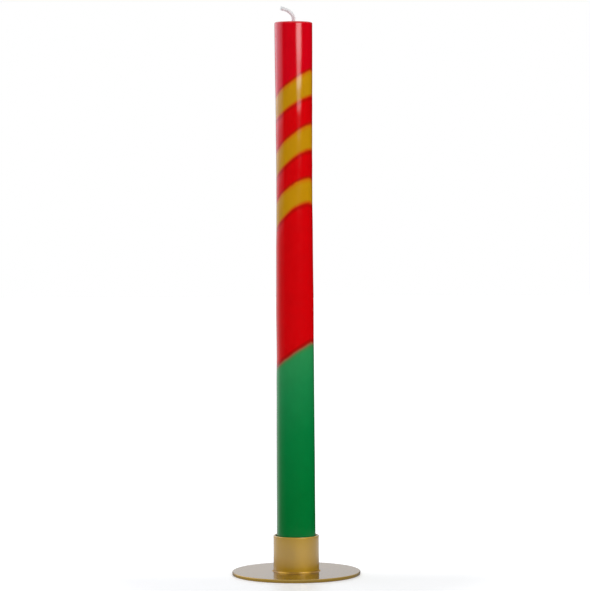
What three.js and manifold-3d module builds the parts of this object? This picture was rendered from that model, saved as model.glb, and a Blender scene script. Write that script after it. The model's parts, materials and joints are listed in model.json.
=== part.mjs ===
// A hand-dipped dinner candle with slanted stripes, standing in a low holder with a disc base.
// Millimetres, +Z up. The origin is the centre of the holder's underside, and the candle is
// seen from the front along +Y. The candle lifts straight up out of the holder's socket.

import * as THREE from "three";
import { mergeVertices, toCreasedNormals } from "three/addons/utils/BufferGeometryUtils.js";
import Module from "manifold-3d";

const wasm = await Module();
wasm.setup();

// Driving dimensions of the holder
const baseDiameter = 75;
const baseThickness = 2;
const baseEdgeRound = 0.5;
const socketHeight = 21;
const socketWall = 1.2;
const socketRimRound = 0.35;
const socketClearance = 0.8; // on the radius, round the candle's foot
const brazeLeg = 0.9;

// Driving dimensions of the candle
const candleLength = 320;
const coreFootRadius = 10.38;
const coreWaistRadius = 9.84;
const coreHeadRadius = 10.92;
const coreWaistHeight = 208;
const coatThickness = 0.12;
const crownThickness = 0.8; // wax over the flat top of the core
const shoulderRound = 0.9;
const collarHeight = 0.5; // the wax that climbs the wick
const collarWidth = 1.6;

// Heights of the dip lines above the candle's foot, where they meet its axis
const upperMustardLine = 285.1;
const upperRedLine = 271.1;
const middleMustardLine = 253.2;
const middleRedLine = 238.4;
const lowerMustardLine = 222.3;
const lowerRedLine = 207.5;
const greenLine = 128.5;

// Driving dimensions of the wick
const wickDiameter = 2.3;
const wickClearance = 0.1; // on the radius, in the core's bore
const wickRise = 8; // the tip's height above the candle's top
const wickReach = 6.9; // the tip's distance to the left of the axis
const wickRootRise = 3.9; // the pull of the bend at its root, upwards
const wickRootSway = 0.9; // and to the right
const wickTipRise = 0.8; // the pull of the bend at its tip, upwards
const wickTipRun = 4.3; // and to the left
const wickTipFlare = 1.12; // the cut end spreads to this share of its width

// Each dip leaves one coat of wax over the last, from the foot up to its dip line. The line lies
// in a plane: slope is its lean from level, in degrees, and heading says which way its high side
// faces, in degrees from the front towards the right.
const dips = [
  { name: "mustard_coat_upper", wax: "mustard", height: upperMustardLine, slope: 37.5, heading: 68 },
  { name: "red_coat_upper", wax: "red", height: upperRedLine, slope: 34.7, heading: 70 },
  { name: "mustard_coat_middle", wax: "mustard", height: middleMustardLine, slope: 41, heading: 63 },
  { name: "red_coat_middle", wax: "red", height: middleRedLine, slope: 40.6, heading: 60 },
  { name: "mustard_coat_lower", wax: "mustard", height: lowerMustardLine, slope: 40.1, heading: 48 },
  { name: "red_coat_lower", wax: "red", height: lowerRedLine, slope: 41.7, heading: 49 },
  { name: "green_coat", wax: "green", height: greenLine, slope: 35.9, heading: 69 },
];

// How finely the round forms are divided
const baseSegments = 80;
const socketSegments = 64;
const candleSegments = 40;
const wickSides = 12;
const wickBendRings = 18;
const ringsBelowWaist = 4;
const ringsAboveWaist = 5;
const roundSteps = 3;
const creaseAngle = Math.PI / 6;

// Sizes that follow from the driving dimensions
const baseRadius = baseDiameter / 2;
const coatCount = dips.length + 1; // the red base coat goes on before the dips
const candleFootRadius = coreFootRadius + coatCount * coatThickness;
const socketBoreRadius = candleFootRadius + socketClearance;
const socketOuterRadius = socketBoreRadius + socketWall;
const coreLength = candleLength - crownThickness;
const wickRadius = wickDiameter / 2;
const wickBoreRadius = wickRadius + wickClearance;
const ringHeights = [
  ...steps(0, coreWaistHeight, ringsBelowWaist).slice(0, -1),
  ...steps(coreWaistHeight, coreLength, ringsAboveWaist),
];

const brass = new THREE.MeshStandardMaterial({ color: 0xc79a4f, roughness: 0.35, metalness: 1 });
const waxes = {
  plain: new THREE.MeshStandardMaterial({ color: 0xf3ecd8, roughness: 0.5, metalness: 0 }),
  red: new THREE.MeshStandardMaterial({ color: 0xc80009, roughness: 0.28, metalness: 0 }),
  mustard: new THREE.MeshStandardMaterial({ color: 0xb8860c, roughness: 0.28, metalness: 0 }),
  green: new THREE.MeshStandardMaterial({ color: 0x07752f, roughness: 0.32, metalness: 0 }),
};
const cotton = new THREE.MeshStandardMaterial({ color: 0xe6e4df, roughness: 0.85, metalness: 0 });

// Evenly spaced values from one number to another, both included.
function steps(from, to, count) {
  return Array.from({ length: count + 1 }, (_, i) => from + ((to - from) * i) / count);
}

// Points on a round corner between two directions, given in degrees, about (x, y).
function corner(x, y, radius, fromDegrees, toDegrees) {
  return steps(fromDegrees, toDegrees, roundSteps).map((degrees) => {
    const angle = THREE.MathUtils.degToRad(degrees);
    return [x + radius * Math.cos(angle), y + radius * Math.sin(angle)];
  });
}

// A profile of [radius, height] points turned round the Z axis.
function turned(profile, segments) {
  const points = profile.map(([radius, height]) => new THREE.Vector2(radius, height));
  return new THREE.LatheGeometry(points, segments).rotateX(Math.PI / 2);
}

// The same for a ring, whose profile closes on itself.
function turnedRing(profile, segments) {
  return turned([...profile, profile[0]], segments);
}

function part(name, geometry, material) {
  const mesh = new THREE.Mesh(toCreasedNormals(geometry, creaseAngle), material);
  mesh.name = name;
  return mesh;
}

function toSolid(geometry) {
  const bare = geometry.clone().deleteAttribute("normal").deleteAttribute("uv");
  const merged = mergeVertices(bare);
  const vertProperties = merged.getAttribute("position").array;
  const triVerts = new Uint32Array(merged.index.array);
  return new wasm.Manifold(new wasm.Mesh({ numProp: 3, vertProperties, triVerts }));
}

function toGeometry(solid) {
  const mesh = solid.getMesh();
  const positions = new THREE.BufferAttribute(mesh.vertProperties, 3);
  const faces = new THREE.BufferAttribute(mesh.triVerts, 1);
  return new THREE.BufferGeometry().setAttribute("position", positions).setIndex(faces);
}

// The core's radius at a height: it eases from the foot in to a waist and out again to the head.
function coreRadius(height) {
  if (height < coreWaistHeight) {
    const share = THREE.MathUtils.smoothstep(height, 0, coreWaistHeight);
    return THREE.MathUtils.lerp(coreFootRadius, coreWaistRadius, share);
  }
  const share = THREE.MathUtils.smoothstep(height, coreWaistHeight, candleLength);
  return THREE.MathUtils.lerp(coreWaistRadius, coreHeadRadius, share);
}

// The wall of the candle after a number of coats, as profile points from the foot upwards.
function candleWall(coats, top) {
  return ringHeights
    .filter((height) => height <= top)
    .map((height) => [coreRadius(height) + coats * coatThickness, height]);
}

// The holder's parts

function baseDisc() {
  const inset = baseRadius - baseEdgeRound;
  return turned(
    [
      [0, 0],
      ...corner(inset, baseEdgeRound, baseEdgeRound, -90, 0),
      ...corner(inset, baseThickness - baseEdgeRound, baseEdgeRound, 0, 90),
      [0, baseThickness],
    ],
    baseSegments,
  );
}

function socketTube() {
  const roundHeight = socketHeight - socketRimRound;
  return turnedRing(
    [
      [socketBoreRadius, 0],
      [socketOuterRadius, 0],
      ...corner(socketOuterRadius - socketRimRound, roundHeight, socketRimRound, 0, 90),
      ...corner(socketBoreRadius + socketRimRound, roundHeight, socketRimRound, 90, 180),
    ],
    socketSegments,
  );
}

// The hollow fillet of braze where the socket stands on the disc.
function brazeFillet() {
  const centre = socketOuterRadius + brazeLeg;
  return turnedRing([[socketOuterRadius, 0], ...corner(centre, brazeLeg, brazeLeg, 270, 180)], socketSegments);
}

// The candle's parts

function candleCore() {
  return turnedRing(
    [[wickBoreRadius, 0], ...candleWall(0, coreLength), [wickBoreRadius, coreLength]],
    candleSegments,
  );
}

// The first coat covers the whole core, closes over its top and climbs the wick a little.
function redBaseCoat() {
  const shoulderStart = candleLength - shoulderRound;
  const shoulderRadius = coreRadius(shoulderStart) + coatThickness;
  const collarFoot = wickBoreRadius + collarWidth;
  const collarRise = Array.from({ length: roundSteps }, (_, i) => {
    const share = (i + 1) / roundSteps;
    return [collarFoot - collarWidth * share, candleLength + collarHeight * share * share];
  });
  return turnedRing(
    [
      ...candleWall(1, shoulderStart),
      ...corner(shoulderRadius - shoulderRound, shoulderStart, shoulderRound, 0, 90),
      [collarFoot, candleLength],
      ...collarRise,
      [wickBoreRadius, coreLength],
      ...candleWall(0, coreLength).reverse(),
    ],
    candleSegments,
  );
}

// A box that takes away everything above a dip line.
function aboveDipLine({ height, slope, heading }) {
  const reach = 2 * candleLength;
  const box = new THREE.BoxGeometry(reach, reach, reach)
    .translate(0, 0, reach / 2)
    .rotateY(-THREE.MathUtils.degToRad(slope))
    .rotateZ(THREE.MathUtils.degToRad(heading - 90))
    .translate(0, 0, height);
  return toSolid(box);
}

// A sleeve of wax between the last coat's wall and its own, cut off along the dip line.
function dipCoat(dip, order) {
  const rise = candleFootRadius * 2 * Math.tan(THREE.MathUtils.degToRad(dip.slope));
  const top = Math.min(dip.height + rise, coreLength);
  const sleeve = turnedRing(
    [...candleWall(order + 1, top), ...candleWall(order, top).reverse()],
    candleSegments,
  );
  return toGeometry(toSolid(sleeve).subtract(aboveDipLine(dip)));
}

// The wick runs straight up the bore and bends over above the candle, in the XZ plane.
function wickBend() {
  const root = new THREE.Vector3(0, 0, candleLength + collarHeight);
  const tip = new THREE.Vector3(-wickReach, 0, candleLength + wickRise);
  const rootPull = new THREE.Vector3(wickRootSway, 0, wickRootRise).add(root);
  const tipPull = new THREE.Vector3(wickTipRun, 0, -wickTipRise).add(tip);
  return new THREE.CubicBezierCurve3(root, rootPull, tipPull, tip);
}

// A circle of points round a centre, level with the ground at first and then turned about Y so
// that it faces along the route.
function wickRing(centre, direction, radius) {
  const facing = new THREE.Matrix4().makeRotationY(Math.atan2(direction.x, direction.z));
  return Array.from({ length: wickSides }, (_, side) => {
    const angle = (2 * Math.PI * side) / wickSides;
    const point = new THREE.Vector3(radius * Math.cos(angle), radius * Math.sin(angle), 0);
    return point.applyMatrix4(facing).add(centre);
  });
}

function wick() {
  const bend = wickBend();
  const rings = [wickRing(new THREE.Vector3(0, 0, 0), new THREE.Vector3(0, 0, 1), wickRadius)];
  for (const share of steps(0, 1, wickBendRings)) {
    const radius = share === 1 ? wickRadius * wickTipFlare : wickRadius;
    rings.push(wickRing(bend.getPointAt(share), bend.getTangentAt(share), radius));
  }
  const faces = [];
  const lastRing = (rings.length - 1) * wickSides;
  for (let start = 0; start < lastRing; start += wickSides) {
    for (let side = 0; side < wickSides; side += 1) {
      const a = start + side;
      const b = start + ((side + 1) % wickSides);
      faces.push(a, b, b + wickSides, a, b + wickSides, a + wickSides);
    }
  }
  for (let side = 1; side < wickSides - 1; side += 1) {
    faces.push(0, side + 1, side);
    faces.push(lastRing, lastRing + side, lastRing + side + 1);
  }
  return new THREE.BufferGeometry().setFromPoints(rings.flat()).setIndex(faces);
}

// The assembly

const base = part("base_disc", baseDisc(), brass);

const socket = new THREE.Group();
socket.position.z = baseThickness;
socket.add(part("socket_tube", socketTube(), brass), part("braze_fillet", brazeFillet(), brass));

const candle = new THREE.Group();
candle.position.z = baseThickness; // the candle's foot stands on the disc inside the socket
candle.add(part("candle_core", candleCore(), waxes.plain));
candle.add(part("red_base_coat", redBaseCoat(), waxes.red));
dips.forEach((dip, i) => candle.add(part(dip.name, dipCoat(dip, i + 1), waxes[dip.wax])));
candle.add(part("wick", wick(), cotton));

const candleInHolder = new THREE.Group();
candleInHolder.add(base, socket, candle);

export default candleInHolder;
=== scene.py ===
import json
import math
import random
from collections import namedtuple

import bpy
import numpy as np
from mathutils import Matrix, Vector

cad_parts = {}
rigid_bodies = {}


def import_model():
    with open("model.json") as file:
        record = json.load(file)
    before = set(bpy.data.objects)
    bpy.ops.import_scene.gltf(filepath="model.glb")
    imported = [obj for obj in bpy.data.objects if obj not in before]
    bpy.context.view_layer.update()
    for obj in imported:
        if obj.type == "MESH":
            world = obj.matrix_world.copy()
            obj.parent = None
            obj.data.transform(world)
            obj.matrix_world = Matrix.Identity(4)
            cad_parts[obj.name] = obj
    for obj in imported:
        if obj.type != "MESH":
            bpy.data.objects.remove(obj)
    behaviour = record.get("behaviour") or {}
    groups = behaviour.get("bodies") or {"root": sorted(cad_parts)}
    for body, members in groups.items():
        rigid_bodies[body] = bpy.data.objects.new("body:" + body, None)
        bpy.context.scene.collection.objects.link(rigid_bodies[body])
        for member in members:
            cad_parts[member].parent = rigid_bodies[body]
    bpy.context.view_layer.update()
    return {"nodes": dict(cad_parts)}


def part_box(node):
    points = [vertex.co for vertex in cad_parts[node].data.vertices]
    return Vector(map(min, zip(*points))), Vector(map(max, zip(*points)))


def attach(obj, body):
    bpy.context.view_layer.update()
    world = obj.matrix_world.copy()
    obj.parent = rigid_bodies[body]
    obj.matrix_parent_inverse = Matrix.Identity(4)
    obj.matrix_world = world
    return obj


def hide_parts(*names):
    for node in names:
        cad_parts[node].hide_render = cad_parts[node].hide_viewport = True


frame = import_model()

# A hand-dipped candle with slanted stripes, in a low brass holder that stands on the origin.
# Sizes are in millimetres here and turned into metres where a mesh is made.

MM = 0.001
BASE_LOW, BASE_HIGH = (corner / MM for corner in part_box("base_disc"))
TUBE_LOW, TUBE_HIGH = (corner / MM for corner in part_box("socket_tube"))
FILLET_LOW, FILLET_HIGH = (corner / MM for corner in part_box("braze_fillet"))

# The holder
BASE_RADIUS = BASE_HIGH.x
BASE_TOP = BASE_HIGH.z
BASE_EDGE_ROUND = 0.5
TUBE_RADIUS = TUBE_HIGH.x
TUBE_WALL = 1.2
TUBE_TOP = TUBE_HIGH.z
TUBE_RIM_ROUND = 0.35
FILLET_LEG = FILLET_HIGH.z - FILLET_LOW.z

# The candle. Heights are above its foot, which stands on the disc.
CANDLE_FOOT = BASE_TOP
CANDLE_LENGTH = 320.0
CORE_FOOT_RADIUS = 10.38
CORE_WAIST_RADIUS = 9.84
CORE_HEAD_RADIUS = 10.92
CORE_WAIST_HEIGHT = 208.0
COAT = 0.12
CROWN = 0.8
SHOULDER_ROUND = 0.9
COLLAR_HEIGHT = 0.5
COLLAR_WIDTH = 1.6
TAPER_LENGTH = {"red": 8.0, "mustard": 8.0, "green": 9.0}  # from a coat's edge to its full thickness
EDGE_SHARE = 0.12  # of the full thickness, in a step at the very edge
STEP_SHARE = 0.0012  # of the taper's length, which that step takes
TAPER_START = 0.04  # of the taper's length, where its even rings start
TAPER_RINGS = 13
TAPER_MARGIN = 1.25  # taper lengths below the edge, where the coat's long rows start
FAR = 1000.0  # stands for a place with no edge near it

# The candle's flat head: the rings on it and its shallow dents
HEAD_EDGE = 1.4  # from the core's radius in to the first ring
HEAD_RINGS = 9
COLLAR_RINGS = 6
HEAD_DIP = 0.08
DENT_SHARE = 0.6
DENT_RINGED = 0.06
DENT_RINGS = 2.1
DENT_CROSSWISE = 0.05
DENT_TWIST = 0.8
DENT_START = 1.0  # from the core's radius in to where the dents begin, and to where they are full
DENT_FULL = 3.0

# Swells of the wax along the candle: how far out, at which height and over what length
SWELLS = [
    (0.09, 152.0, 13.0),
    (-0.05, 128.0, 9.0),
    (0.16, 157.0, 29.0),
]
LONG_WAVE = 0.018
LONG_WAVE_LENGTH = 9.0
SHORT_WAVE = 0.014
SHORT_WAVE_LENGTH = 5.3

# How far a dip line wanders off its plane, in three and in seven waves round the candle
WANDER_OF_THREE = 0.14
WANDER_OF_SEVEN = 0.07

# The wick
WICK_RADIUS = 1.15
WICK_BORE_RADIUS = 1.25
WICK_RISE = 8.0
WICK_REACH = 6.9
WICK_ROOT_RISE = 3.9
WICK_ROOT_SWAY = 0.9
WICK_TIP_RISE = 0.8
WICK_TIP_RUN = 4.3

# Each dip: the coat that it leaves, its wax, the height at which its line crosses the candle's
# axis, the line's slope, and the way its high side faces, in degrees from the viewer to the right.
Dip = namedtuple("Dip", "coat wax height slope heading")
DIPS = [
    Dip("mustard_coat_upper", "mustard", 285.1, 37.5, 68.0),
    Dip("red_coat_upper", "red", 271.1, 34.7, 70.0),
    Dip("mustard_coat_middle", "mustard", 253.2, 41.0, 63.0),
    Dip("red_coat_middle", "red", 238.4, 40.6, 60.0),
    Dip("mustard_coat_lower", "mustard", 222.3, 40.1, 48.0),
    Dip("red_coat_lower", "red", 207.5, 41.7, 49.0),
    Dip("green_coat", "green", 128.5, 35.9, 69.0),
]

# How finely the round forms are divided
HOLDER_SEGMENTS = 256
CANDLE_SEGMENTS = 192
ROW_SPACING = 8.0
FLAT_MARGIN = 0.08  # a ring this near to a rounding keeps the face beside it flat
HUB_RADIUS = 0.5  # of the small round face in the middle of the disc
BELOW_SHOULDER = 1.0  # where the base coat's even rows end

# The view: a long lens at two thirds of the candle's height, tilted a little down
IMAGE_HEIGHT_PX = 591
SENSOR = 36.0
FOCAL_PX = 2698.0
CAMERA_DISTANCE = 1571.6
CAMERA_HEIGHT = 225.8
CAMERA_RIGHT = 0.1
CAMERA_PITCH = 2.282
CAMERA_ROLL = 0.318


def angles(count):
    return np.linspace(0.0, 2.0 * math.pi, count, endpoint=False)


def smoothstep(value, low, high):
    share = np.clip((value - low) / (high - low), 0.0, 1.0)
    return share * share * (3.0 - 2.0 * share)


# Meshes

def mesh_piece(name, points, faces, material, body, replaced, crease=35.0, attributes=None):
    """A smooth-shaded piece that rides on one of the two bodies and stands for one of its nodes."""
    mesh = bpy.data.meshes.new(name)
    mesh.from_pydata((np.asarray(points) * MM).tolist(), [], faces)
    mesh.validate()
    for key, values in (attributes or {}).items():
        layer = mesh.attributes.new(key, "FLOAT", "POINT")
        layer.data.foreach_set("value", np.asarray(values, dtype=np.float32))
    mesh.shade_smooth()
    mesh.set_sharp_from_angle(angle=math.radians(crease))
    mesh.materials.append(material)
    piece = bpy.data.objects.new(name, mesh)
    bpy.context.scene.collection.objects.link(piece)
    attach(piece, body)
    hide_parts(replaced)
    return piece


def ring_faces(ring_count, segments, loop, capped):
    """Faces between rings of points. A loop joins the last ring to the first one."""
    faces = []
    for ring in range(ring_count if loop else ring_count - 1):
        a = ring * segments
        b = ((ring + 1) % ring_count) * segments
        for i in range(segments):
            j = (i + 1) % segments
            faces.append((a + i, a + j, b + j, b + i))
    if capped:
        last = (ring_count - 1) * segments
        faces.append(tuple(reversed(range(segments))))
        faces.append(tuple(range(last, last + segments)))
    return faces


def turned_rings(profile, segments):
    """A profile of (radius, height) pairs turned round the Z axis, as rings of points."""
    turn = angles(segments)
    rings = [
        np.stack([radius * np.cos(turn), radius * np.sin(turn), np.full(segments, height)], axis=1)
        for radius, height in profile
    ]
    return np.concatenate(rings)


def corner(x, y, radius, start, end, steps=6):
    turn = np.radians(np.linspace(start, end, steps + 1))
    return [(x + radius * math.cos(t), y + radius * math.sin(t)) for t in turn]


# Node materials

class Nodes:
    """Short calls for building a node tree."""

    def __init__(self, tree):
        self.tree = tree
        tree.nodes.clear()

    def add(self, kind, inputs=None, **settings):
        node = self.tree.nodes.new(kind)
        for key, value in settings.items():
            setattr(node, key, value)
        for key, value in (inputs or {}).items():
            self.set(node.inputs[key], value)
        return node

    def set(self, socket, value):
        if isinstance(value, bpy.types.NodeSocket):
            self.tree.links.new(value, socket)
        else:
            socket.default_value = value

    def math(self, operation, a, b=0.0):
        node = self.add("ShaderNodeMath", {0: a, 1: b}, operation=operation)
        return node.outputs[0]

    def ramp(self, value, stops, interpolation="LINEAR"):
        node = self.add("ShaderNodeValToRGB", {"Fac": value})
        node.color_ramp.interpolation = interpolation
        elements = node.color_ramp.elements
        elements.remove(elements[1])
        elements[0].position = stops[0][0]
        elements[0].color = colour(stops[0][1])
        for position, shade in stops[1:]:
            elements.new(position).color = colour(shade)
        return node.outputs["Color"]

    def map(self, value, from_low, from_high, to_low=0.0, to_high=1.0, smooth=False):
        kind = "SMOOTHSTEP" if smooth else "LINEAR"
        node = self.add("ShaderNodeMapRange", interpolation_type=kind)
        for key, number in zip((0, 1, 2, 3, 4), (value, from_low, from_high, to_low, to_high)):
            self.set(node.inputs[key], number)
        return node.outputs[0]

    def mix(self, share, a, b, blend="MIX"):
        node = self.add("ShaderNodeMix", data_type="RGBA", blend_type=blend)
        self.set(node.inputs[0], share)
        self.set(node.inputs[6], a)
        self.set(node.inputs[7], b)
        return node.outputs[2]

    def noise(self, vector, scale, detail=2.0, roughness=0.5):
        values = {"Vector": vector, "Scale": scale, "Detail": detail, "Roughness": roughness}
        return self.add("ShaderNodeTexNoise", values).outputs["Fac"]

    def bump(self, height, strength, distance, normal=None):
        values = {"Height": height, "Strength": strength, "Distance": distance}
        if normal is not None:
            values["Normal"] = normal
        return self.add("ShaderNodeBump", values).outputs["Normal"]


def colour(shade):
    if isinstance(shade, (int, float)):
        return (shade, shade, shade, 1.0)
    return (*shade, 1.0) if len(shade) == 3 else shade


def new_material(name):
    material = bpy.data.materials.new(name)
    material.use_nodes = True
    return material, Nodes(material.node_tree)


def object_place(nodes):
    return nodes.add("ShaderNodeTexCoord").outputs["Object"]


def grey(nodes, value):
    return nodes.add("ShaderNodeCombineColor", {0: value, 1: value, 2: value}).outputs[0]


def finish_material(nodes, inputs):
    shader = nodes.add("ShaderNodeBsdfPrincipled", inputs)
    nodes.add("ShaderNodeOutputMaterial", {"Surface": shader.outputs[0]})


NOISE_SPREAD = (0.3, 0.7)  # most of a noise lies between these
WAX_IOR = 1.45


# Colours of a coat by the distance from its edge, in millimetres: near the edge the wax is thin, and the coat
# under it shows through.
# The dark red band a little in from the edge of the red and mustard coats is painted shade of the coat's
# step.
# The green grows darker further down from its edge, which is partly its own colour and partly painted light.
EDGE_RANGE = 80.0
EDGE_WANDER = 0.35
WAX_MOTTLE = (0.965, 1.03)
WAX_ROUGHNESS = (0.07, 0.12)
WAX_RAMPS = {
    "first_red": [
        (0.0, (0.61, 0.0003, 0.0068)),
        (1.0, (0.61, 0.0003, 0.0068)),
    ],
    "red": [
        (0.0, (0.50, 0.205, 0.0018)),
        (0.6, (0.54, 0.15, 0.002)),
        (1.1, (0.55, 0.078, 0.002)),
        (1.6, (0.49, 0.02, 0.0015)),
        (2.1, (0.44, 0.0025, 0.001)),
        (2.8, (0.51, 0.0009, 0.001)),
        (3.6, (0.61, 0.0004, 0.0021)),
    ],
    "mustard": [
        (0.0, (0.57, 0.0012, 0.0012)),
        (0.45, (0.50, 0.003, 0.001)),
        (0.9, (0.44, 0.011, 0.001)),
        (1.3, (0.47, 0.046, 0.0015)),
        (1.75, (0.55, 0.118, 0.0025)),
        (2.3, (0.56, 0.18, 0.003)),
        (2.9, (0.52, 0.207, 0.0022)),
        (3.7, (0.505, 0.246, 0.0026)),
    ],
    "green": [
        (0.0, (0.54, 0.001, 0.001)),
        (0.8, (0.43, 0.002, 0.002)),
        (1.3, (0.36, 0.005, 0.003)),
        (1.75, (0.32, 0.021, 0.009)),
        (2.2, (0.295, 0.076, 0.034)),
        (2.7, (0.205, 0.138, 0.053)),
        (3.15, (0.115, 0.172, 0.054)),
        (3.6, (0.064, 0.205, 0.058)),
        (4.1, (0.038, 0.232, 0.063)),
        (5.2, (0.022, 0.252, 0.074)),
        (20.0, (0.010, 0.222, 0.060)),
        (42.0, (0.002, 0.188, 0.041)),
        (72.0, (0.0004, 0.167, 0.030)),
    ],
}


def wax_material(name, stops):
    """Dipped wax: glossy, a little uneven, with a faint mottle in its dye, and with painted light and shade
    in its colours by the distance from a coat's edge.
    """
    material, nodes = new_material(name)
    place = object_place(nodes)
    edge = nodes.add("ShaderNodeAttribute", attribute_name="edge_mm").outputs["Fac"]
    wander = nodes.map(nodes.noise(place, scale=220.0), 0.0, 1.0, -EDGE_WANDER, EDGE_WANDER)
    distance = nodes.math("DIVIDE", nodes.math("ADD", edge, wander), EDGE_RANGE)
    # The ramp gives the dye and, by the distance from a coat's edge, painted shade and painted light.
    dye = nodes.ramp(distance, [(at / EDGE_RANGE, shade) for at, shade in stops])
    mottle = nodes.map(nodes.noise(place, scale=130.0, detail=4.0), *NOISE_SPREAD, *WAX_MOTTLE)
    dye = nodes.mix(1.0, dye, grey(nodes, mottle), "MULTIPLY")
    fine = nodes.noise(place, scale=900.0, detail=3.0)
    rough = nodes.map(nodes.noise(place, scale=300.0, detail=4.0), *NOISE_SPREAD, *WAX_ROUGHNESS)
    soft = nodes.noise(place, scale=45.0, detail=1.0)
    relief = nodes.bump(soft, strength=0.10, distance=0.0006)
    relief = nodes.bump(fine, strength=0.03, distance=0.00008, normal=relief)
    finish_material(nodes, {
        "Base Color": dye,
        "Roughness": rough,
        "IOR": WAX_IOR,
        "Normal": relief,
    })
    return material


PLAIN_WAX = ((0.80, 0.74, 0.60), (0.88, 0.83, 0.70))
PLAIN_WAX_ROUGHNESS = (0.38, 0.5)


def plain_wax_material():
    """The undyed wax of the candle's core."""
    material, nodes = new_material("plain_wax")
    place = object_place(nodes)
    dye = nodes.ramp(nodes.noise(place, scale=160.0, detail=4.0), list(zip(NOISE_SPREAD, PLAIN_WAX)))
    rough = nodes.noise(place, scale=500.0, detail=3.0)
    grain = nodes.noise(place, scale=1200.0, detail=3.0)
    finish_material(nodes, {
        "Base Color": dye,
        "Roughness": nodes.map(rough, *NOISE_SPREAD, *PLAIN_WAX_ROUGHNESS),
        "IOR": WAX_IOR,
        "Normal": nodes.bump(grain, strength=0.08, distance=0.0001),
    })
    return material


BRASS = ((0.488, 0.288, 0.013), (0.518, 0.311, 0.016))
# Painted shade: the darker brass colour that a flat face takes where it is seen edge-on.
BRASS_GRAZING_SHADE = (0.25, 0.135, 0.006)
GRAZING_SHADE_RANGE = (0.6, 0.88)  # where that painted shade comes in, from facing at 0 to edge-on at 1
# Painted shade and painted highlight of the braze bead, between which its colour swings round the tube.
BEAD_PAINTED_SHADE = (0.32, 0.17, 0.006)
BEAD_PAINTED_HIGHLIGHT = (0.58, 0.34, 0.03)
LATHE_LINES = 9000.0  # to a metre
LATHE_DRIFT = 2.5
BRASS_ROUGHNESS = (0.54, 0.60)
LATHE_ROUGHNESS = (-0.04, 0.04)
BEAD_HIGHLIGHT_WAVES = 6.0  # of painted highlight round the tube
BEAD_HIGHLIGHT_WAVE_TURN = 2.2
BEAD_HIGHLIGHT_SWAY = 0.6
BEAD_HIGHLIGHT_SWAY_TURN = 1.92
BEAD_HIGHLIGHT_RANGE = (0.1, 1.4)  # of the waves, from the painted shade to the painted highlight
LACQUER = 1.0
BEAD_LACQUER = 0.4


def brass_material(name, turned_flat, beaded=False):
    """Satin brass with the fine lines of a lathe: rings on a flat face, bands on a tube. A flat face gets
    painted shade where it is seen edge-on, and the bead gets painted highlights and painted shade round the
    tube.
    """
    material, nodes = new_material(name)
    place = object_place(nodes)
    x, y, z = nodes.add("ShaderNodeSeparateXYZ", {0: place}).outputs
    squares = nodes.math("ADD", nodes.math("MULTIPLY", x, x), nodes.math("MULTIPLY", y, y))
    radius = nodes.math("SQRT", squares)
    turn = nodes.math("ARCTAN2", y, x)
    across = radius if turned_flat else z
    line_place = nodes.add("ShaderNodeCombineXYZ", {
        0: nodes.math("MULTIPLY", across, LATHE_LINES),
        1: nodes.math("MULTIPLY", nodes.math("SINE", turn), LATHE_DRIFT),
        2: nodes.math("MULTIPLY", nodes.math("COSINE", turn), LATHE_DRIFT),
    }).outputs[0]
    lines = nodes.noise(line_place, scale=1.0, detail=3.0, roughness=0.6)
    cloud = nodes.noise(place, scale=90.0, detail=4.0)
    metal = nodes.ramp(cloud, list(zip(NOISE_SPREAD, BRASS)))
    # Painted shade: the flat face turns darker where it is seen edge-on.
    if turned_flat:
        facing = nodes.add("ShaderNodeLayerWeight", {"Blend": 0.5}).outputs["Facing"]
        grazing_shade = nodes.map(facing, *GRAZING_SHADE_RANGE, 0.0, 1.0, smooth=True)
        metal = nodes.mix(grazing_shade, metal, colour(BRASS_GRAZING_SHADE))
    # Painted highlights on the bead: a set pattern round the tube, here called its height, swings the colour
    # from painted shade to painted highlight.
    if beaded:
        waves = nodes.math("MULTIPLY", turn, BEAD_HIGHLIGHT_WAVES)
        wave = nodes.math("SINE", nodes.math("ADD", waves, BEAD_HIGHLIGHT_WAVE_TURN))
        swell = nodes.math("COSINE", nodes.math("ADD", turn, BEAD_HIGHLIGHT_SWAY_TURN))
        height = nodes.math("ADD", wave, nodes.math("MULTIPLY", swell, BEAD_HIGHLIGHT_SWAY))
        metal = nodes.mix(nodes.map(height, *BEAD_HIGHLIGHT_RANGE), colour(BEAD_PAINTED_SHADE), colour(BEAD_PAINTED_HIGHLIGHT))
    rough = nodes.math(
        "ADD",
        nodes.map(cloud, *NOISE_SPREAD, *BRASS_ROUGHNESS),
        nodes.map(lines, *NOISE_SPREAD, *LATHE_ROUGHNESS),
    )
    finish_material(nodes, {
        "Base Color": metal,
        "Metallic": 0.6,
        "Roughness": rough,
        "Specular IOR Level": 0.1,
        "Specular Tint": (0.3, 0.3, 0.35, 1.0),
        "Normal": nodes.bump(lines, strength=0.05, distance=0.00003),
        "Coat Weight": BEAD_LACQUER if beaded else LACQUER,
        "Coat Roughness": 0.13,
        "Coat IOR": 1.75,
    })
    return material


YARN = ((0.70, 0.71, 0.715), (0.83, 0.84, 0.845))
YARN_DYE = (0.80, 0.30, 0.30)
YARN_DYE_SHARE = 0.15
DYED_FROM = 0.3  # above the candle's top
DYED_TO = 2.2


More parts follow.
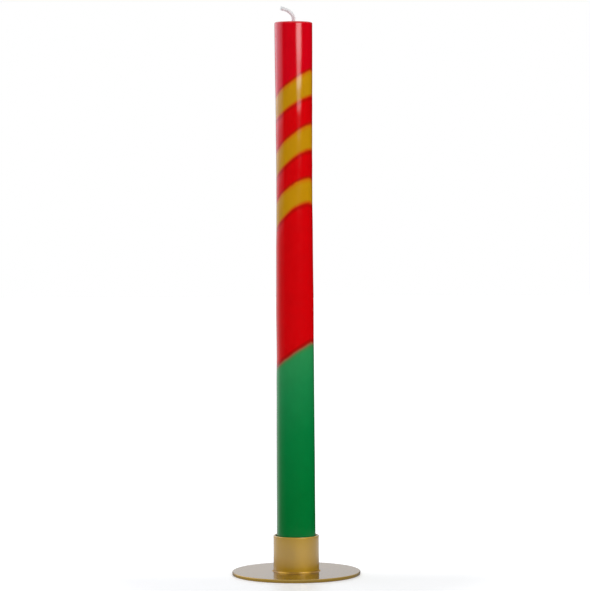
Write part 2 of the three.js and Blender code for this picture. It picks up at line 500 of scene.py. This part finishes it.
def cotton_material():
    """Waxed cotton yarn, tinted by the dip where it leaves the candle."""
    material, nodes = new_material("braided_cotton")
    place = object_place(nodes)
    height = nodes.add("ShaderNodeSeparateXYZ", {0: place}).outputs[2]
    top = (CANDLE_FOOT + CANDLE_LENGTH) * MM
    dyed = nodes.map(height, top + DYED_FROM * MM, top + DYED_TO * MM, 1.0, 0.0, smooth=True)
    yarn = nodes.ramp(nodes.noise(place, scale=1500.0, detail=4.0), list(zip(NOISE_SPREAD, YARN)))
    fluff = nodes.noise(place, scale=5200.0, detail=3.0)
    finish_material(nodes, {
        "Base Color": nodes.mix(nodes.math("MULTIPLY", dyed, YARN_DYE_SHARE), yarn, colour(YARN_DYE)),
        "Roughness": 0.75,
        "Sheen Weight": 0.25,
        "Sheen Roughness": 0.4,
        "Normal": nodes.bump(fluff, strength=0.5, distance=0.00012),
    })
    return material


# The holder

def build_holder():
    flat_brass = brass_material("satin_brass_flat", True)
    tube_brass = brass_material("satin_brass_tube", False)
    bead_brass = brass_material("satin_brass_bead", False, beaded=True)

    inset = BASE_RADIUS - BASE_EDGE_ROUND
    low = BASE_LOW.z
    profile = [
        (HUB_RADIUS, low),
        (inset - FLAT_MARGIN, low),
        *corner(inset, low + BASE_EDGE_ROUND, BASE_EDGE_ROUND, -90, 0),
        *corner(inset, BASE_TOP - BASE_EDGE_ROUND, BASE_EDGE_ROUND, 0, 90),
        (inset - FLAT_MARGIN, BASE_TOP),
        (HUB_RADIUS, BASE_TOP),
    ]
    faces = ring_faces(len(profile), HOLDER_SEGMENTS, loop=False, capped=True)
    points = turned_rings(profile, HOLDER_SEGMENTS)
    mesh_piece("base_disc_smooth", points, faces, flat_brass, "holder", "base_disc")

    bore = TUBE_RADIUS - TUBE_WALL
    shoulder = TUBE_TOP - TUBE_RIM_ROUND
    profile = [
        (bore, TUBE_LOW.z),
        (TUBE_RADIUS, TUBE_LOW.z),
        (TUBE_RADIUS, shoulder - FLAT_MARGIN),
        *corner(TUBE_RADIUS - TUBE_RIM_ROUND, shoulder, TUBE_RIM_ROUND, 0, 90),
        *corner(bore + TUBE_RIM_ROUND, shoulder, TUBE_RIM_ROUND, 90, 180),
        (bore, shoulder - FLAT_MARGIN),
    ]
    faces = ring_faces(len(profile), HOLDER_SEGMENTS, loop=True, capped=False)
    points = turned_rings(profile, HOLDER_SEGMENTS)
    mesh_piece("socket_tube_smooth", points, faces, tube_brass, "holder", "socket_tube")

    profile = [
        (TUBE_RADIUS, BASE_TOP),
        *corner(TUBE_RADIUS + FILLET_LEG, BASE_TOP + FILLET_LEG, FILLET_LEG, 270, 180),
    ]
    faces = ring_faces(len(profile), HOLDER_SEGMENTS, loop=True, capped=False)
    points = turned_rings(profile, HOLDER_SEGMENTS)
    mesh_piece("braze_fillet_smooth", points, faces, bead_brass, "holder", "braze_fillet")


# The candle

def core_radius(height):
    waist = smoothstep(height, 0.0, CORE_WAIST_HEIGHT)
    lower = CORE_FOOT_RADIUS + (CORE_WAIST_RADIUS - CORE_FOOT_RADIUS) * waist
    rise = smoothstep(height, CORE_WAIST_HEIGHT, CANDLE_LENGTH)
    upper = CORE_WAIST_RADIUS + (CORE_HEAD_RADIUS - CORE_WAIST_RADIUS) * rise
    return np.where(height < CORE_WAIST_HEIGHT, lower, upper)


def unevenness(height, turn):
    """How far hand-dipped wax swells and draws in along the candle."""
    swell = sum(out * np.exp(-(((height - middle) / length) ** 2)) for out, middle, length in SWELLS)
    waves = LONG_WAVE * np.sin(height / LONG_WAVE_LENGTH + np.sin(turn))
    waves += SHORT_WAVE * np.sin(height / SHORT_WAVE_LENGTH + 2.0 * np.cos(turn))
    return swell + waves


def wall(coats, height, turn):
    return core_radius(height) + coats * COAT + unevenness(height, turn)


def ring(radius, turn, height):
    return np.stack([radius * np.cos(turn), radius * np.sin(turn), height + CANDLE_FOOT], axis=1)


def dip_line(dip, turn):
    """Height of a coat's edge round the candle: a slanted plane, with the wander of a hand dip."""
    radius = core_radius(dip.height) + COAT * (DIPS.index(dip) + 2)
    high_side = math.radians(dip.heading - 90.0)
    wander = WANDER_OF_THREE * np.sin(3.0 * turn + dip.height)
    wander += WANDER_OF_SEVEN * np.sin(7.0 * turn + 2.0 * dip.height)
    rise = math.tan(math.radians(dip.slope)) * radius * np.cos(turn - high_side)
    return dip.height + rise + wander


def coat_piece(dip, material):
    """A sleeve of wax from the candle's foot up to its dip line, where it thins to a fine step."""
    order = DIPS.index(dip) + 1
    turn = angles(CANDLE_SEGMENTS)
    edge = dip_line(dip, turn)
    lean = math.cos(math.radians(dip.slope))
    taper = TAPER_LENGTH[dip.wax]
    rings, distances = [], []
    for share in [0.0, STEP_SHARE, *np.linspace(TAPER_START, 1.0, TAPER_RINGS), TAPER_MARGIN]:
        offset = share * taper
        at = edge - offset / lean
        blunt = EDGE_SHARE * min(1.0, share / STEP_SHARE)
        thickness = COAT * (blunt + (1.0 - blunt) * float(smoothstep(share, 0.0, 1.0)))
        rings.append(ring(wall(order, at, turn) + thickness, turn, at))
        distances.append(np.full(CANDLE_SEGMENTS, offset))
    rows = max(2, round(dip.height / ROW_SPACING))
    last = edge - TAPER_MARGIN * taper / lean
    for share in np.linspace(1.0, 0.0, rows)[1:]:
        at = last * share
        rings.append(ring(wall(order + 1, at, turn), turn, at))
        distances.append((edge - at) * lean)
    for share in np.linspace(0.0, 1.0, rows):
        at = last * share
        rings.append(ring(wall(order, at, turn), turn, at))
        distances.append(np.full(CANDLE_SEGMENTS, FAR))
    faces = ring_faces(len(rings), CANDLE_SEGMENTS, loop=True, capped=False)
    faces = [tuple(reversed(face)) for face in faces]
    points = np.concatenate(rings)
    edges = {"edge_mm": np.concatenate(distances)}
    mesh_piece(dip.coat + "_wax", points, faces, material, "candle", dip.coat, attributes=edges)


def base_coat_piece(material):
    """The first red coat: over the whole core, closed over its top, with a collar at the wick."""
    turn = angles(CANDLE_SEGMENTS)
    level = np.zeros(CANDLE_SEGMENTS)
    core_top = CANDLE_LENGTH - CROWN
    shoulder = CANDLE_LENGTH - SHOULDER_ROUND
    rings = []
    rows = np.linspace(0.0, shoulder - BELOW_SHOULDER, round(shoulder / ROW_SPACING))
    for at in [*rows, shoulder - FLAT_MARGIN, shoulder]:
        rings.append(ring(wall(1, level + at, turn), turn, level + at))
    rim = wall(1, level + shoulder, turn)
    for along, up in corner(-SHOULDER_ROUND, shoulder, SHOULDER_ROUND, 0, 90)[1:]:
        rings.append(ring(rim + along, turn, level + up))
    collar_foot = WICK_BORE_RADIUS + COLLAR_WIDTH
    for radius in np.linspace(CORE_HEAD_RADIUS - HEAD_EDGE, collar_foot, HEAD_RINGS):
        dent = DENT_RINGED * math.sin(radius * DENT_RINGS)
        dent = dent + DENT_CROSSWISE * np.sin(2.0 * turn + radius * DENT_TWIST)
        fade = smoothstep(radius, CORE_HEAD_RADIUS - DENT_START, CORE_HEAD_RADIUS - DENT_FULL)
        up = CANDLE_LENGTH - HEAD_DIP * fade + fade * dent * DENT_SHARE
        rings.append(ring(level + radius, turn, up))
    for share in np.linspace(0.0, 1.0, COLLAR_RINGS + 1)[1:]:
        radius = collar_foot - COLLAR_WIDTH * share
        rings.append(ring(level + radius, turn, level + CANDLE_LENGTH + COLLAR_HEIGHT * share * share))
    rings.append(ring(level + WICK_BORE_RADIUS, turn, level + core_top))
    for at in np.linspace(core_top, 0.0, round(core_top / ROW_SPACING)):
        rings.append(ring(wall(0, level + at, turn), turn, level + at))
    faces = ring_faces(len(rings), CANDLE_SEGMENTS, loop=True, capped=False)
    points = np.concatenate(rings)
    edges = {"edge_mm": np.full(len(points), FAR)}
    name = "red_base_coat"
    mesh_piece(name + "_wax", points, faces, material, "candle", name, attributes=edges)


def build_candle():
    waxes = {name: wax_material(name + "_wax", stops) for name, stops in WAX_RAMPS.items()}
    base_coat_piece(waxes["first_red"])
    for dip in DIPS:
        coat_piece(dip, waxes[dip.wax])
    core = frame["nodes"]["candle_core"]
    core.data.materials.clear()
    core.data.materials.append(plain_wax_material())


# The wick: a round braid of eight strands on one bend, in the XZ plane

STRANDS_EACH_WAY = 4
BRAID_PITCH = 7.0
BRAID_RADIUS = 0.76
BRAID_WEAVE = 0.13
STRAND_THICK = 0.25
STRAND_WIDE = 0.43
STRAND_SIDES = 10
STRAND_STEP = 0.17
BRAID_START = -2.5  # below the wick's root, hidden in the wax
FRAY_LENGTH = 1.3
FRAY_THINNING = 0.45
STRAND_STAGGER = 0.35  # by how much some strands are cut shorter than others
STRAND_LOOSENING = (0.1, 0.5)
FIBRE_COUNT = 70
FIBRE_THICK = 0.045
FIBRE_THINNING = 0.7
FIBRE_SETBACK = 0.9
FIBRE_ROOT = (0.2, 1.0)
FIBRE_REACH = (0.4, 1.15)
FIBRE_SPREAD = (0.05, 0.75)
FIBRE_CURL = (-0.4, 0.4)
FIBRE_STEPS = 6
FIBRE_SIDES = 4
FILLER_SHORTER = 0.5  # than the strands round it
FILLER_STEPS = 30
FILLER_SIDES = 12
HIDDEN_SIDES = 24
HIDDEN_OVERLAP = 0.5  # of the straight wick inside the candle with the braid's lower end
SKIN = 0.1  # by how much the yarn inside stays within the strands and the bore
DIRECTION_REACH = 0.35  # the wick's direction is read over this much to each side
RANDOM_SEED = 11


class WickRoute:
    """Places along the wick by length from its root, straight below it and bent above it."""

    def __init__(self):
        top = CANDLE_FOOT + CANDLE_LENGTH
        root = np.array([0.0, top + COLLAR_HEIGHT])
        tip = np.array([-WICK_REACH, top + WICK_RISE])
        root_pull = root + (WICK_ROOT_SWAY, WICK_ROOT_RISE)
        tip_pull = tip + (WICK_TIP_RUN, -WICK_TIP_RISE)
        t = np.linspace(0.0, 1.0, 400)[:, None]
        s = 1.0 - t
        bend = s**3 * root + 3 * s**2 * t * root_pull + 3 * s * t**2 * tip_pull + t**3 * tip
        below = np.array([[0.0, root[1] + BRAID_START * 2]])
        self.points = np.concatenate([below, bend])
        steps = np.linalg.norm(np.diff(self.points, axis=0), axis=1)
        self.lengths = np.concatenate([[0.0], np.cumsum(steps)]) - steps[0]
        self.end = self.lengths[-1]

    def place(self, length):
        return np.array([np.interp(length, self.lengths, self.points[:, i]) for i in (0, 1)])

    def frame(self, length):
        """The centre, the two directions across the wick and the one along it."""
        after = self.place(min(length + DIRECTION_REACH, self.end))
        before = self.place(min(length, self.end - 0.01) - DIRECTION_REACH)
        ahead = after - before
        ahead /= np.linalg.norm(ahead)
        x, z = self.place(length)
        along = np.array([ahead[0], 0.0, ahead[1]])
        side = np.array([ahead[1], 0.0, -ahead[0]])
        return np.array([x, 0.0, z]), side, np.array([0.0, 1.0, 0.0]), along


def tube_points(centres, thick, wide, outward, sides):
    """Rings of points round a line of centres, flattened along the outward directions."""
    centres = np.asarray(centres)
    ahead = np.gradient(centres, axis=0)
    ahead /= np.linalg.norm(ahead, axis=1)[:, None]
    out = np.asarray(outward) - ahead * np.sum(np.asarray(outward) * ahead, axis=1)[:, None]
    out /= np.linalg.norm(out, axis=1)[:, None]
    across = np.cross(ahead, out)
    rings = []
    for i, centre in enumerate(centres):
        for turn in angles(sides):
            rings.append(centre + out[i] * thick[i] * math.cos(turn) + across[i] * wide[i] * math.sin(turn))
    return np.array(rings)


def strand(route, direction, phase, chance):
    """One strand of the braid, which winds round the wick and weaves over and under the others."""
    end = route.end - chance.uniform(0.0, STRAND_STAGGER)
    lengths = np.linspace(BRAID_START, end, round((end - BRAID_START) / STRAND_STEP))
    crossing = BRAID_PITCH / (2 * STRANDS_EACH_WAY)
    centres, outward, thick, wide = [], [], [], []
    loosen = chance.uniform(*STRAND_LOOSENING)
    for length in lengths:
        centre, side, cross, _ = route.frame(length)
        fray = max(0.0, (length - route.end + FRAY_LENGTH) / FRAY_LENGTH)
        turn = phase + direction * 2.0 * math.pi * length / BRAID_PITCH
        radius = BRAID_RADIUS + direction * BRAID_WEAVE * math.cos(math.pi * length / crossing)
        radius += loosen * fray * fray
        out = side * math.cos(turn) + cross * math.sin(turn)
        centres.append(centre + out * radius)
        outward.append(out)
        taper = 1.0 - FRAY_THINNING * fray**3
        thick.append(STRAND_THICK * taper)
        wide.append(STRAND_WIDE * taper)
    return tube_points(centres, thick, wide, outward, STRAND_SIDES), len(lengths)


def fibre(route, chance):
    """One loose cotton fibre at the cut end."""
    centre, side, cross, along = route.frame(route.end - chance.uniform(0.0, FIBRE_SETBACK))
    turn = chance.uniform(0.0, 2.0 * math.pi)
    out = side * math.cos(turn) + cross * math.sin(turn)
    start = centre + out * chance.uniform(*FIBRE_ROOT)
    reach = chance.uniform(*FIBRE_REACH)
    spread = chance.uniform(*FIBRE_SPREAD)
    curl = chance.uniform(*FIBRE_CURL)
    shares = np.linspace(0.0, 1.0, FIBRE_STEPS)
    centres = []
    for share in shares:
        drift = out * spread * share + np.cross(along, out) * curl * share * share
        centres.append(start + (along * share + drift * share) * reach)
    width = [FIBRE_THICK * (1.0 - FIBRE_THINNING * share) for share in shares]
    return tube_points(centres, width, width, [out] * FIBRE_STEPS, FIBRE_SIDES), FIBRE_STEPS


def build_wick():
    chance = random.Random(RANDOM_SEED)
    route = WickRoute()
    points, faces = [], []

    def join(rings, ring_count, sides):
        start = sum(len(block) for block in points)
        points.append(rings)
        for face in ring_faces(ring_count, sides, loop=False, capped=True):
            faces.append(tuple(start + i for i in face))

    for direction in (1, -1):
        for i in range(STRANDS_EACH_WAY):
            rings, count = strand(route, direction, 2.0 * math.pi * i / STRANDS_EACH_WAY, chance)
            join(rings, count, STRAND_SIDES)
    for _ in range(FIBRE_COUNT):
        rings, count = fibre(route, chance)
        join(rings, count, FIBRE_SIDES)

    filler_end = route.end - FILLER_SHORTER
    frames = [route.frame(at) for at in np.linspace(BRAID_START, filler_end, FILLER_STEPS)]
    centres = [centre for centre, _, _, _ in frames]
    outward = [cross for _, _, cross, _ in frames]
    width = [BRAID_RADIUS - SKIN] * FILLER_STEPS
    filler = tube_points(centres, width, width, outward, FILLER_SIDES)
    join(filler, FILLER_STEPS, FILLER_SIDES)

    hidden_radius = WICK_RADIUS - SKIN
    hidden_top = CANDLE_FOOT + CANDLE_LENGTH + COLLAR_HEIGHT + BRAID_START + HIDDEN_OVERLAP
    hidden = turned_rings([(hidden_radius, CANDLE_FOOT), (hidden_radius, hidden_top)], HIDDEN_SIDES)
    join(hidden, 2, HIDDEN_SIDES)

    block = np.concatenate(points)
    block[:, 2] = np.minimum(block[:, 2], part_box("wick")[1].z / MM - 0.01)
    mesh_piece("wick_braid", block, faces, cotton_material(), "candle", "wick", crease=60.0)


# The studio

def studio_azimuth(nodes, direction):
    """The angle round the object, a half at the viewer and growing to the right, and the height."""
    split = nodes.add("ShaderNodeSeparateXYZ", {0: direction})
    turn = nodes.math("ARCTAN2", split.outputs[0], nodes.math("MULTIPLY", split.outputs[1], -1.0))
    return nodes.map(turn, -math.pi, math.pi), split.outputs[2]


# What polished surfaces see round them, by degrees from the viewer to the right: bright behind the
# object and to its left, and dark in front of it and to its right
STUDIO_TONES = [
    (-180.0, 0.88),
    (-174.0, 0.93),
    (-165.0, 0.4),
    (-150.0, 1.0),
    (-128.0, 0.94),
    (-108.0, 0.40),
    (-88.0, 0.16),
    (-60.0, 0.02),
    (60.0, 0.0),
    (165.0, 0.0),
    (173.0, 0.76),
    (180.0, 0.88),
]


def studio_tone(nodes, direction):
    share, height = studio_azimuth(nodes, direction)
    stops = [((angle + 180.0) / 360.0, tone) for angle, tone in STUDIO_TONES]
    return nodes.ramp(share, stops), height


AMBIENT = 0.55
CEILING_START = 0.12  # how far up, where 1 is overhead
CEILING_FULL = 0.3
CEILING_TONE = 1.0


def build_world():
    world = bpy.data.worlds.new("studio")
    world.use_nodes = True
    bpy.context.scene.world = world
    nodes = Nodes(world.node_tree)
    direction = nodes.add("ShaderNodeTexCoord").outputs["Generated"]
    tone, height = studio_tone(nodes, direction)
    ceiling = nodes.map(height, CEILING_START, CEILING_FULL, 0.0, CEILING_TONE, smooth=True)
    seen = nodes.mix(1.0, tone, grey(nodes, ceiling), "LIGHTEN")
    path = nodes.add("ShaderNodeLightPath")
    shade = nodes.mix(path.outputs["Is Glossy Ray"], colour(AMBIENT), seen)
    shade = nodes.mix(path.outputs["Is Camera Ray"], shade, colour(1.0))
    shade = nodes.mix(path.outputs["Is Transmission Ray"], shade, colour(1.0))
    background = nodes.add("ShaderNodeBackground", {"Color": shade, "Strength": 1.0})
    nodes.add("ShaderNodeOutputWorld", {"Surface": background.outputs[0]})


# The floor, in metres from the holder's middle: where each tone starts and ends. The lower glow before the
# holder is a painted shadow, and the darker tone round the disc in what the brass mirrors is a painted
# contact shadow.
FLOOR_HALF = 4.0
FLOOR_HEIGHT = -0.00002
PAPER = 0.8
PAPER_GLOW = 0.42
# Painted shadow: the floor's lower glow before the holder.
PAINTED_SHADOW_GLOW = 0.195
PAINTED_SHADOW_REACH = (0.09, 0.17)
PAINTED_SHADOW_FRONT = (-0.03, 0.05)
POOL = (0.165, 0.197)
# Painted contact shadow round the disc, in the floor as the brass mirrors it.
PAINTED_CONTACT_SHADOW = (0.0385, 0.11)
PAINTED_CONTACT_SHADOW_TONE = 0.32
POLISH = (0.98, 1.0, 1.0)
POLISH_ROUGHNESS = 0.42
POLISH_IOR = 1.2


def build_floor():
    """A pale floor with a painted shadow before the holder, that the brass mirrors as the studio, with a
    painted contact shadow round the disc in that mirror image.
    """
    mesh = bpy.data.meshes.new("floor")
    corners = [(-FLOOR_HALF, -FLOOR_HALF), (FLOOR_HALF, -FLOOR_HALF), (FLOOR_HALF, FLOOR_HALF),
               (-FLOOR_HALF, FLOOR_HALF)]
    mesh.from_pydata([(x, y, FLOOR_HEIGHT) for x, y in corners], [], [(0, 1, 2, 3)])
    floor = bpy.data.objects.new("floor", mesh)
    bpy.context.scene.collection.objects.link(floor)
    material, nodes = new_material("floor")
    place = object_place(nodes)
    tone = studio_tone(nodes, place)[0]
    away = nodes.add("ShaderNodeVectorMath", {0: place}, operation="LENGTH").outputs["Value"]
    pool = nodes.map(away, *POOL, 1.0, 0.0, smooth=True)
    # Painted contact shadow: what the brass mirrors of the floor is darker close round the disc.
    painted_contact_shadow = nodes.map(away, *PAINTED_CONTACT_SHADOW, PAINTED_CONTACT_SHADOW_TONE, 1.0, smooth=True)
    depth = nodes.add("ShaderNodeSeparateXYZ", {0: place}).outputs[1]
    front = nodes.map(depth, *PAINTED_SHADOW_FRONT, 1.0, 0.0, smooth=True)
    # Painted shadow: before the holder and near it, the floor's glow comes down.
    near = nodes.math("MULTIPLY", nodes.map(away, *PAINTED_SHADOW_REACH, 1.0, 0.0, smooth=True), front)
    path = nodes.add("ShaderNodeLightPath")
    paper = nodes.add("ShaderNodeBsdfDiffuse", {"Color": colour(PAPER)})
    polish = nodes.add("ShaderNodeBsdfGlossy", {"Color": colour(POLISH), "Roughness": POLISH_ROUGHNESS})
    gloss = nodes.add("ShaderNodeFresnel", {"IOR": POLISH_IOR}).outputs[0]
    shaded = nodes.add("ShaderNodeMixShader", {0: gloss, 1: paper.outputs[0], 2: polish.outputs[0]})
    glow_with_painted_shadow = nodes.mix(near, colour(PAPER_GLOW), colour(PAINTED_SHADOW_GLOW))
    white = nodes.add("ShaderNodeEmission", {"Color": glow_with_painted_shadow})
    shown = nodes.add("ShaderNodeAddShader", {0: white.outputs[0], 1: shaded.outputs[0]})
    mirrored = nodes.mix(pool, tone, grey(nodes, painted_contact_shadow))
    glow = nodes.add("ShaderNodeEmission", {"Color": mirrored, "Strength": 1.0})
    surface = nodes.add("ShaderNodeMixShader", {
        0: path.outputs["Is Camera Ray"], 1: paper.outputs[0], 2: shown.outputs[0],
    })
    surface = nodes.add("ShaderNodeMixShader", {
        0: path.outputs["Is Glossy Ray"], 1: surface.outputs[0], 2: glow.outputs[0],
    })
    nodes.add("ShaderNodeOutputMaterial", {"Surface": surface.outputs[0]})
    mesh.materials.append(material)


# The lamps: where they stand in degrees from the viewer to the right, and their sizes in metres
KEY_AZIMUTH = 34.0
KEY_DISTANCE = 1.2
KEY_SOFT_DISTANCE = 1.22  # behind the others, since panels in one plane take each other's light
KEY_WIDTH = 1.0
KEY_LOW = 0.27
KEY_SPLIT = 0.45
KEY_HIGH = 0.82
KEY_STRENGTH = 7.9
KEY_FADE = 0.458
KEY_NARROWING = 0.9
KEY_SIDES = [(0.0, 0.0), (0.12, 0.3), (0.25, 0.9), (0.5, 1.0), (0.72, 0.85), (0.86, 0.2), (1.0, 0.0)]
NO_FADE = 0.001
LEFT_AZIMUTH = -105.0
LEFT_DISTANCE = 1.2
LEFT_WIDTH = 1.9
LEFT_LOW = 0.16
LEFT_HIGH = 1.3
LEFT_STRENGTH = 1.7
LEFT_FADE = 0.2
LEFT_TINT = (1.0, 1.0, 1.22)
LEFT_SIDES = [(0.0, 0.8), (0.6, 1.0), (0.85, 0.5), (1.0, 0.0)]
PANEL_MIDDLE = 0.38  # the share of a panel's width towards which it narrows


def light_panel(name, azimuth, distance, width, low, high, strength, sides, fade, narrowing=0.0, tint=1.0):
    """An upright soft light, unseen by the viewer, with its strength across it given by sides.

    It comes in over the share fade of its height, and its foot is slimmer by narrowing.
    """
    mesh = bpy.data.meshes.new(name)
    half = width / 2
    mesh.from_pydata([(-half, 0, low), (half, 0, low), (half, 0, high), (-half, 0, high)], [], [(0, 1, 2, 3)])
    panel = bpy.data.objects.new(name, mesh)
    bpy.context.scene.collection.objects.link(panel)
    turn = math.radians(azimuth)
    panel.location = (distance * math.sin(turn), -distance * math.cos(turn), 0.0)
    panel.rotation_euler = (0.0, 0.0, turn)
    panel.visible_camera = False
    panel.visible_shadow = False
    material, nodes = new_material(name)
    place = nodes.add("ShaderNodeTexCoord").outputs["Generated"]
    x, _, z = nodes.add("ShaderNodeSeparateXYZ", {0: place}).outputs
    upward = nodes.map(z, 0.0, fade, 0.0, 1.0, smooth=True)
    pinch = nodes.map(upward, 0.0, 1.0, 1.0 + narrowing, 1.0)
    beside = nodes.math("MULTIPLY", nodes.math("SUBTRACT", x, PANEL_MIDDLE), pinch)
    across = nodes.ramp(nodes.math("ADD", beside, PANEL_MIDDLE), sides, "EASE")
    level = nodes.math("MULTIPLY", nodes.math("MULTIPLY", across, upward), strength)
    glow = nodes.add("ShaderNodeEmission", {"Color": colour(tint), "Strength": level})
    clear = nodes.add("ShaderNodeBsdfTransparent")
    both = nodes.add("ShaderNodeAddShader", {0: glow.outputs[0], 1: clear.outputs[0]})
    nodes.add("ShaderNodeOutputMaterial", {"Surface": both.outputs[0]})
    mesh.materials.append(material)
    return panel


def light_only(panel, pieces):
    """Let a light panel light the given pieces and nothing else."""
    lit = bpy.data.collections.new(panel.name + "_lit")
    for piece in pieces:
        lit.objects.link(piece)
    panel.light_linking.receiver_collection = lit


def build_lamps():
    """The key light in three panels, and a cool light from the left."""
    key = (KEY_AZIMUTH, KEY_DISTANCE, KEY_WIDTH)
    key_soft = (KEY_AZIMUTH, KEY_SOFT_DISTANCE, KEY_WIDTH)
    upper = (KEY_SPLIT, KEY_HIGH, KEY_STRENGTH, KEY_SIDES, NO_FADE)
    lower = (KEY_LOW, KEY_SPLIT, KEY_STRENGTH, KEY_SIDES, KEY_FADE)
    panels = [
        light_panel("key_low", *key, *lower, narrowing=KEY_NARROWING),
        light_panel("key_high", *key, *upper),
        light_panel("key_soft", *key_soft, *upper),
    ]
    left = (LEFT_AZIMUTH, LEFT_DISTANCE, LEFT_WIDTH, LEFT_LOW, LEFT_HIGH)
    light_panel("left_light", *left, LEFT_STRENGTH, LEFT_SIDES, LEFT_FADE, tint=LEFT_TINT)
    return panels


def share_lamps(key_low, key_high, key_soft):
    """Keep the key light off the disc, and its mirror image off the candle's flat head.

    Both are level and would mirror it as plain white.
    """
    lit = [piece for piece in bpy.context.scene.objects if piece.name != "base_disc_smooth"]
    head = bpy.data.objects["red_base_coat_wax"]
    light_only(key_low, lit)
    light_only(key_high, [piece for piece in lit if piece != head])
    light_only(key_soft, [head])
    key_soft.visible_glossy = False


def build_camera():
    camera = bpy.data.objects.new("camera", bpy.data.cameras.new("camera"))
    bpy.context.scene.collection.objects.link(camera)
    camera.location = (CAMERA_RIGHT * MM, -CAMERA_DISTANCE * MM, CAMERA_HEIGHT * MM)
    tilt = Matrix.Rotation(math.radians(90.0 - CAMERA_PITCH), 4, "X")
    roll = Matrix.Rotation(math.radians(-CAMERA_ROLL), 4, "Z")
    camera.rotation_euler = (tilt @ roll).to_euler()
    camera.data.sensor_width = SENSOR
    camera.data.lens = FOCAL_PX / IMAGE_HEIGHT_PX * SENSOR
    camera.data.clip_start = 0.05
    camera.data.clip_end = 50.0
    bpy.context.scene.camera = camera


build_camera()
build_world()
build_floor()
key_panels = build_lamps()
build_holder()
build_candle()
build_wick()
share_lamps(*key_panels)

bpy.context.scene.view_settings.view_transform = "Standard"
